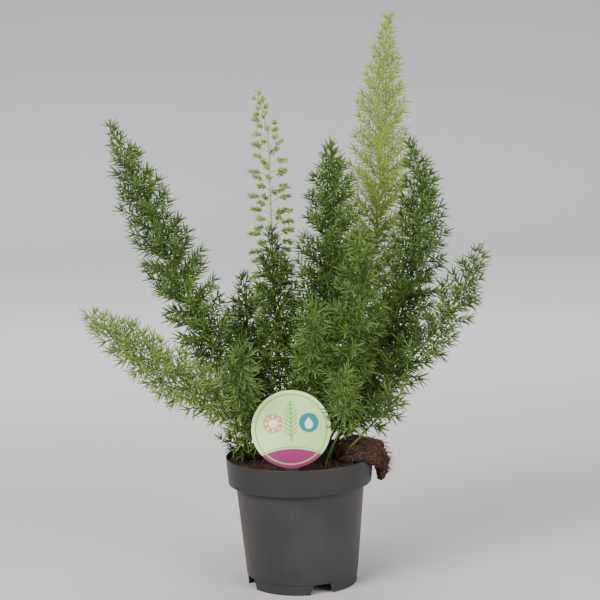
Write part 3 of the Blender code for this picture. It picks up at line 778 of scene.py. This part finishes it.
# The line of each stem in millimetres from the pot's axis, and how far its foliage reaches
PLUMES = {
    "plume_tall_left": (
        [(-23, 5, 104), (-57, 8, 173), (-91, 14, 247), (-119, 20, 310), (-146, 26, 379)], 23),
    "plume_low_left": (
        [(-21, -9, 104), (-57, -26, 150), (-90, -40, 173), (-130, -54, 208), (-170, -66, 243)], 19),
    "plume_short_left": ([(-16, 16, 105), (-34, 28, 154), (-40, 44, 201), (-43, 58, 250)], 19),
    "plume_centre": ([(-6, 4, 107), (-9, 16, 164), (-13, 24, 220), (-19, 32, 290)], 19),
    "plume_centre_tall": ([(5, -3, 107), (19, 3, 173), (28, 2, 239), (32, 0, 303), (31, -4, 361)], 26),
    "plume_lime": (
        [(16, 14, 106), (45, 38, 166), (61, 52, 231), (72, 62, 313), (77, 70, 395), (84, 74, 461)], 24),
    "plume_right_tall": (
        [(25, 4, 105), (60, 8, 159), (85, 8, 216), (101, 6, 276), (102, 2, 325), (93, -4, 361)], 22),
    "plume_right_side": (
        [(25, -8, 104), (61, -20, 150), (91, -28, 187), (122, -34, 225), (152, -38, 286)], 20),
    "plume_front_right": (
        [(12, -15, 105), (34, -36, 164), (47, -51, 222), (52, -58, 270), (49, -62, 308)], 20),
    "plume_front_left": (
        [(-13, -19, 104), (-34, -31, 140), (-44, -52, 166), (-42, -84, 194), (-35, -113, 222)], 19),
    "plume_front_centre": (
        [(0, -20, 104), (6, -29, 150), (10, -44, 187), (14, -70, 220), (17, -94, 255)], 18),
    "plume_front_low": ([(21, -23, 103), (33, -51, 138), (36, -86, 168), (31, -117, 200)], 18),
    "plume_right_low": ([(32, -18, 103), (54, -37, 132), (71, -55, 154), (84, -70, 172)], 17),
    "plume_back_left": ([(-22, 27, 103), (-36, 58, 144), (-46, 92, 177), (-55, 121, 212)], 19),
    "plume_back_centre": ([(0, 24, 105), (14, 60, 159), (28, 92, 217), (38, 114, 276)], 20),
    "plume_back_right": ([(22, 28, 103), (52, 58, 150), (76, 90, 190), (95, 114, 245)], 20),
    "sprig_left": ([(-36, -2, 102), (-48, -9, 116), (-59, -16, 121), (-69, -22, 119)], 9),
    "young_shoot": (
        [(-9, 19, 106), (-15, 30, 162), (-17, 42, 235), (-18, 51, 308), (-19, 56, 362), (-27, 60, 397)], 16),
}
# Four factors and a length: the foliage's reach, the spacing of twigs, the spacing of tufts, and the
# stem's bare foot in millimetres
USUAL_GROWTH = (1.28, 1.0, 1.0, 16)
GROWTH = {
    "plume_low_left": (1.28, 1.0, 1.1, 16),
    "plume_lime": (1.30, 1.0, 1.1, 16),
    "plume_right_side": (1.2, 1.35, 1.1, 42),
    "plume_front_right": (1.25, 1.35, 1.1, 40),
    "plume_front_left": (1.0, 1.6, 1.1, 18),
    "plume_front_centre": (1.0, 1.6, 1.1, 28),
    "plume_front_low": (1.0, 1.8, 1.1, 44),
    "plume_right_low": (1.1, 1.8, 1.1, 42),
    "plume_back_left": (1.15, 1.6, 1.1, 16),
    "plume_back_centre": (1.15, 1.6, 1.1, 16),
    "plume_back_right": (1.15, 1.6, 1.1, 16),
    "sprig_left": (1.28, 1.0, 1.0, 0),
}
STEM_FOOT_Z = 80
# How far a stem itself ends below the tip of its foliage
USUAL_SHORTFALL = 0.009
SHORT_OF_TIP = {"young_shoot": 0.003, "plume_low_left": 0.006}
GOLDEN_ANGLE = math.radians(137.508)


def smooth_line(points, share):
    """A point on the smooth curve through the points, share running from 0 to 1."""
    spans = len(points) - 1
    place = min(max(share, 0.0), 1.0) * spans
    k = min(int(place), spans - 1)
    t = place - k
    before = points[k - 1] if k else points[0] * 2 - points[1]
    after = points[k + 2] if k + 2 <= spans else points[-1] * 2 - points[-2]
    a, b = points[k], points[k + 1]
    return 0.5 * (
        2 * a
        + (b - before) * t
        + (2 * before - 5 * a + 4 * b - after) * t * t
        + (3 * a - before - 3 * b + after) * t * t * t
    )


def stem_points(line, short):
    """The stem's line in metres: straight in the peat, smooth above it, and short of its end by a length."""
    knots = [Vector(p) * MM for p in line]
    lead = (knots[1] - knots[0]).normalized()
    depth = knots[0].z - STEM_FOOT_Z * MM
    knots = [knots[0] - Vector((lead.x * 0.25, lead.y * 0.25, 1.0)) * depth, *knots]
    buried = 1 / (len(knots) - 1)
    count = 12 * (len(knots) - 2)
    upper = [smooth_line(knots, buried + (1 - buried) * k / count) for k in range(count + 1)]
    while (upper[-2] - upper[-1]).length < short:
        short -= (upper[-2] - upper[-1]).length
        upper.pop()
    upper[-1] += (upper[-2] - upper[-1]).normalized() * short
    return [p + POT_AXIS for p in [knots[0], *upper]]


def in_the_way(nodes, point):
    """1 where a point is in the label, the pot's wall or the peat, with a little room, else 0."""
    x, y, z = (point - tuple(POT_AXIS)).parts()
    lx, ly, lz = LABEL_CENTRE - POT_AXIS
    distance = (x * x + y * y) ** 0.5
    label_depth, disc_radius, stake_half = 0.0024, 0.0336, 0.0080
    lip, inner_wall, outer_wall, soil_edge = 0.1075, 0.0545, 0.0620, 0.0560
    soil_level, mound_height, mound_spread = 0.0990, 0.0085, 0.0009
    lump_room = 1.0
    at_label = (y - ly).size() < label_depth
    dx, dz = x - lx, z - lz
    on_disc = (dx * dx + dz * dz) ** 0.5 < disc_radius
    on_stake = (dx.size() < stake_half) * (z < lz)
    label = at_label * (on_disc + on_stake).at_most(1.0)
    wall = (z < lip) * (distance > inner_wall) * (distance < outer_wall)
    mound = (distance * distance * (-1.0 / mound_spread)).exponential() * mound_height + soil_level
    soil = (distance < soil_edge) * (z < mound)
    blocked = label + wall + soil
    for centre, size in CLUMP_LUMPS:
        axes = zip((x, y, z), centre, size)
        a, b, c = [(q - middle * MM) / ((half + lump_room) * MM) for q, middle, half in axes]
        blocked = blocked + (a * a + b * b + c * c < 1.0)
    return blocked


def blocked_along(nodes, start, direction, length):
    """1 where anything is in the way of a straight twig or needle, else 0."""
    total = 0.0
    for share in (0.3, 0.65, 1.0):
        total = in_the_way(nodes, start + direction * length * share) + total
    return total > 0.5


def leafy_stem_tree():
    """A stem along a line, its twigs set in a spiral, and tufts of needles along each twig."""
    tree, nodes, given = new_tree("Leafy stem", {
        "Stem Radius": 0.00135, "Tip Radius": 0.0005, "First Twig": 0.1,
        "Twig Spacing": 0.0040, "Reach": 0.022, "Twig Radius": 0.00032,
        "Tilt at Foot": 1.25, "Tilt at Tip": 0.95, "Upturn": 0.08,
        "Tuft Spacing": 0.0034, "Needles": 4, "Needle Length": 0.0100,
        "Needle Width": 0.00130, "Needle Spread": 0.95, "Bare Twig": 0.08,
        "Tip Needles": 0, "Shortest Twig": 0.0025,
        "Seed": 0, "Material": None,
    })
    index = nodes.add("GeometryNodeInputIndex")
    position = nodes.add("GeometryNodeInputPosition")
    share = nodes.add("GeometryNodeSplineParameter", output="Factor")

    def random(low, high, salt):
        return nodes.random(low, high, given["Seed"] + salt)

    def store(geometry, name, value, domain="POINT"):
        return nodes.add("GeometryNodeStoreNamedAttribute", {"domain": domain}, Geometry=geometry,
                         Name=name, Value=value)

    def named(name):
        return nodes.add("GeometryNodeInputNamedAttribute", Name=name)

    def spaced(curve, spacing):
        """Points along a curve, with its tangent and normal there."""
        points = nodes.add("GeometryNodeCurveToPoints", {"mode": "LENGTH"}, Curve=curve, Length=spacing)
        return points, nodes.sibling(points, "Tangent"), nodes.sibling(points, "Normal")

    def without(points, selection):
        return nodes.add("GeometryNodeDeleteGeometry", Geometry=points, Selection=selection)

    def leaning(tangent, normal, turn, lean):
        """The direction that leans from the tangent, turned about it from the normal."""
        around = nodes.add("ShaderNodeVectorRotate", Vector=normal, Axis=tangent, Angle=turn)
        return tangent * lean.cos() + around * lean.sin()

    def aimed(direction):
        return nodes.add("FunctionNodeAlignRotationToVector", {"axis": "Z"}, Vector=direction)

    line = nodes.add("GeometryNodeMeshToCurve", Mesh=given["Geometry"])
    line = store(line, "stem_share", share)
    taper = (given["Stem Radius"] - given["Tip Radius"]) * (1.0 - share) + given["Tip Radius"]
    taper = taper * (1.0 - (share > 0.999) * 0.7)
    stem = store(nodes.tube(line, taper, 8), "leafy", 0.0)

    roots, tangent, normal = spaced(line, given["Twig Spacing"])
    first = given["First Twig"]
    height = (named("stem_share") - first) / (1.0 - first)
    widest_at, foot_width = 0.35, 0.60
    swell = (height / widest_at).at_least(0.0).at_most(1.0)
    taper = ((height - widest_at) / (1 - widest_at)).at_least(0.0).at_most(1.0) ** 1.6
    swell = (swell * (math.pi / 2)).sin() * (1 - foot_width) + foot_width
    fullness = swell * (taper * (math.pi / 2 * 0.86)).cos()
    tilt_change = (given["Tilt at Tip"] - given["Tilt at Foot"]) * height
    tilt = given["Tilt at Foot"] + tilt_change + random(-0.2, 0.2, 1)
    across = given["Reach"] * fullness - given["Needle Length"] * 0.70
    length = across / tilt.sin() * random(0.86, 1.05, 2)
    length = length.at_least(given["Shortest Twig"])
    tilt = tilt * (1.0 - height.rise(0.93, 1.0) * 0.45)
    direction = leaning(tangent, normal, index * GOLDEN_ANGLE + random(-0.3, 0.3, 3), tilt)
    roots = store(roots, "twig_length", length)
    hidden = (height < 0.0) + blocked_along(nodes, position, direction, length)
    roots = without(roots, hidden > 0.5)
    sprout = nodes.line((0, 0, 0), (0, 0, 1), 5)
    twigs = nodes.real(nodes.instances(roots, sprout, aimed(direction), length))
    lift = share * share * named("twig_length") * given["Upturn"]
    twigs = nodes.moved(twigs, nodes.vector(0.0, 0.0, lift))
    twig_mesh = nodes.tube(twigs, given["Twig Radius"] * (1.15 - share * 0.55), 4)
    twig_mesh = store(twig_mesh, "leafy", 0.25)

    tufts, tangent, normal = spaced(store(twigs, "twig_share", share), given["Tuft Spacing"])
    twig_share = named("twig_share")
    at_end = twig_share > 0.98
    tufts = store(tufts, "spin", random(0.0, 6.28, 5))
    amount = given["Needles"] + at_end * 2.0 + (named("stem_share") > 0.97) * given["Tip Needles"]
    tufts = without(tufts, twig_share < given["Bare Twig"])
    many = nodes.add("GeometryNodeDuplicateElements", Geometry=tufts, Amount=amount)
    which = nodes.sibling(many, "Duplicate Index")
    spread = given["Needle Spread"] * random(0.62, 1.28, 6) * (1.0 - at_end * 0.30)
    direction = leaning(tangent, normal, which * FULL_TURN / amount + named("spin"), spread)
    length = given["Needle Length"] * random(0.72, 1.12, 7) * (1.0 - named("stem_share") * 0.15)
    many = without(many, blocked_along(nodes, position, direction, length))

    blade = store(nodes.line((0, 0, 0), (0, 0, 1), 3), "along", share)
    blade = nodes.moved(blade, nodes.vector(share * share * 0.10, 0.0, share * (share - 1.0) * 0.5))
    girth = (1.05 - (share - 0.5) ** 2.0 * 2.2 - share * 0.15) * 0.5
    blade = nodes.tube(blade, girth * given["Needle Width"] / given["Needle Length"], 3)
    needles = nodes.instances(many, blade, aimed(direction), length)
    needles = nodes.real(store(needles, "tone", random(0.0, 1.0, 8), "INSTANCE"))
    needles = store(needles, "leafy", 1.0)
    whole = nodes.smooth(nodes.real(nodes.join(stem, twig_mesh, needles)))
    nodes.lead_out(nodes.painted(whole, given["Material"]))
    return tree


class FERN_OT_plumes(bpy.types.Operator):
    """Makes every leafy stem and the young shoot along their lines"""

    bl_idname = "fern.plumes"
    bl_label = "Leafy stems"

    def execute(self, context):
        s = context.scene.fern_foliage
        tree = leafy_stem_tree()
        old = needle_green("old_needles", s.dark, s.bright)
        special = self.special_stems(s)
        for number, (node, (line, reach)) in enumerate(PLUMES.items()):
            points = stem_points(line, SHORT_OF_TIP.get(node, USUAL_SHORTFALL))
            edges = [(i, i + 1) for i in range(len(points) - 1)]
            name = "leafy_" + node.replace("plume", "stem")
            stem = new_object(name, mesh_of(name, points, [], edges))
            modifier = stem.modifiers.new("leafy_stem", "NODES")
            modifier.node_group = tree
            buried = (points[1] - points[0]).length
            whole = buried + sum((b - a).length for a, b in zip(points[1:], points[2:]))
            wider, twigs_apart, tufts_apart, bare = GROWTH.get(node, USUAL_GROWTH)
            slot, changes = special.get(node, ("foliage", {}))
            set_inputs(modifier, {
                "Seed": number * 20, "Material": old, "Reach": reach * wider * MM,
                "First Twig": (buried + bare * MM) / whole, "Twig Spacing": s.twig_spacing * twigs_apart,
                "Tuft Spacing": s.tuft_spacing * tufts_apart, "Needle Length": s.needle,
                "Needle Width": s.needle_width, "Stem Radius": 0.00120 * min(1.0, 0.72 + whole / 0.9),
                **changes,
            })
            settle(stem)
            register_piece(stem, node, slot=slot)
        return {"FINISHED"}

    @staticmethod
    def special_stems(s):
        """The slot of each stem with needles of its own, and the inputs that change."""
        fresh = needle_green("fresh_needles", s.bright, s.fresh)
        lime = needle_green("lime_needles", shaded(s.lime, 0.66), s.lime)
        young = needle_green("young_buds", s.fresh, shaded(s.fresh, 1.4))
        return {
            "plume_low_left": ("fresh_foliage", {"Material": fresh, "Needle Length": s.needle * 1.1}),
            "plume_right_low": ("fresh_foliage", {}),
            "plume_lime": ("lime_foliage", {
                "Material": lime, "Needle Width": s.needle_width * 0.74, "Needle Spread": 0.85,
                "Upturn": 0.22, "Twig Radius": 0.00024,
            }),
            "young_shoot": ("shoot", {
                "Material": young, "Needle Length": 0.0044, "Needle Width": 0.0017, "Twig Spacing": 0.0024,
                "Tuft Spacing": 0.0012, "Bare Twig": 0.52, "Tilt at Foot": 1.45, "Upturn": -0.22,
                "Shortest Twig": 0.0035, "First Twig": 0.30, "Twig Radius": 0.00026,
                "Stem Radius": 0.00085, "Tip Needles": 8,
            }),
        }


# Stage


class FERN_OT_stage(bpy.types.Operator):
    """Makes the floor, the backdrop, the lights and the camera"""

    bl_idname = "fern.stage"
    bl_label = "Stage"

    def execute(self, context):
        s = context.scene.fern_stage
        self.backdrop()
        self.light("key_light", (-1.2, -1.45, 1.55), (0.0, 0.0, 0.2), 1.5, 80)
        self.light("fill_light", (1.4, -1.5, 1.0), (0.0, 0.0, 0.2), 1.6, 50)
        self.light("top_light", (0.1, 0.5, 2.2), (0.0, 0.1, 0.1), 1.4, 30)
        world = bpy.data.worlds.new("studio")
        world.use_nodes = True
        background = world.node_tree.nodes["Background"]
        background.inputs["Color"].default_value = (0.80, 0.82, 0.86, 1.0)
        background.inputs["Strength"].default_value = 0.55
        context.scene.world = world
        data = bpy.data.cameras.new("photo_camera")
        data.lens, data.sensor_width = s.lens, 36.0
        camera = bpy.data.objects.new("photo_camera", data)
        turn = Matrix.Rotation(math.pi / 2 - s.pitch, 4, "X") @ Matrix.Rotation(-s.roll, 4, "Z")
        right_of_pot = 0.00405
        place = POT_AXIS + Vector((right_of_pot, -s.distance, s.eye_height))
        camera.matrix_world = Matrix.Translation(place) @ turn
        context.scene.collection.objects.link(camera)
        context.scene.camera = camera
        return {"FINISHED"}

    @staticmethod
    def light(name, place, target, size, power):
        data = bpy.data.lights.new(name, "AREA")
        data.shape, data.size, data.energy = "DISK", size, power
        lamp = bpy.data.objects.new(name, data)
        aim = (Vector(target) - Vector(place)).to_track_quat("-Z", "Y")
        lamp.matrix_world = Matrix.Translation(place) @ aim.to_matrix().to_4x4()
        bpy.context.scene.collection.objects.link(lamp)

    @staticmethod
    def backdrop():
        """A floor that curves up into a wall behind the plant, coloured with painted light and shade."""
        material, nodes, place = shader("backdrop_paper", Roughness=0.85)
        # Painted light and shade in place of the lamps' fall-off: the floor is darker near the camera and
        # lighter far back, a lighter patch is painted on the far left floor, and the wall is darker going
        # up.
        floor, far_floor, painted_light_left_floor, wall = (
            (0.485, 0.456, 0.434), (0.825, 0.815, 0.825), (0.930, 0.920, 0.930), (0.570, 0.572, 0.600))
        x, y, z = place.parts()
        away = y.rise(0.2, 1.4)
        colour = nodes.mix(away, floor, far_floor)
        colour = nodes.mix(x.rise(0.3, -0.9) * away * 0.6, colour, painted_light_left_floor)
        colour = nodes.mix(z.rise(0.0, 0.75), colour, wall)
        nodes.surface(Base_Color=colour)
        radius, far, side, top, steps = 1.4, 3.6, 4.0, 4.0, 24
        outline = [(-side, 0.0), (far - radius, 0.0)]
        for k in range(1, steps + 1):
            angle = math.pi / 2 * k / steps
            outline.append((far - radius + radius * math.sin(angle), radius - radius * math.cos(angle)))
        outline.append((far, top))
        points = [(x, y, z) for y, z in outline for x in (-side, side)]
        faces = [(2 * i, 2 * i + 1, 2 * i + 3, 2 * i + 2) for i in range(len(outline) - 1)]
        mesh = bpy.data.meshes.new("backdrop")
        mesh.from_pydata(points, [], faces)
        mesh.shade_smooth()
        new_object("backdrop", mesh, material)


class FERN_PT_panel(bpy.types.Panel):
    """Lists the pieces in the 3D view's sidebar"""

    bl_idname = "FERN_PT_panel"
    bl_label = "Foxtail fern"
    bl_space_type = "VIEW_3D"
    bl_region_type = "UI"
    bl_category = "Foxtail fern"

    def draw(self, context):
        for name, group in SETTINGS.items():
            box = self.layout.box()
            box.label(text=group.__doc__)
            for prop in group.__annotations__:
                box.prop(getattr(context.scene, name), prop)
        for operator in OPERATORS:
            self.layout.operator(operator.bl_idname)


SETTINGS = {
    "fern_pot": PotSettings,
    "fern_peat": PeatSettings,
    "fern_label": LabelSettings,
    "fern_foliage": FoliageSettings,
    "fern_stage": StageSettings,
}
OPERATORS = (FERN_OT_stage, FERN_OT_pot, FERN_OT_peat, FERN_OT_label, FERN_OT_plumes)


def register():
    for cls in (*SETTINGS.values(), *OPERATORS, FERN_PT_panel):
        bpy.utils.register_class(cls)
    for name, group in SETTINGS.items():
        setattr(bpy.types.Scene, name, PointerProperty(type=group))


def unregister():
    for name in SETTINGS:
        delattr(bpy.types.Scene, name)
    for cls in (FERN_PT_panel, *OPERATORS, *SETTINGS.values()):
        bpy.utils.unregister_class(cls)


def main():
    register()
    bpy.ops.fern.stage()
    bpy.ops.fern.pot()
    bpy.ops.fern.peat()
    bpy.ops.fern.label()
    bpy.ops.fern.plumes()


if __name__ == "__main__":
    main()
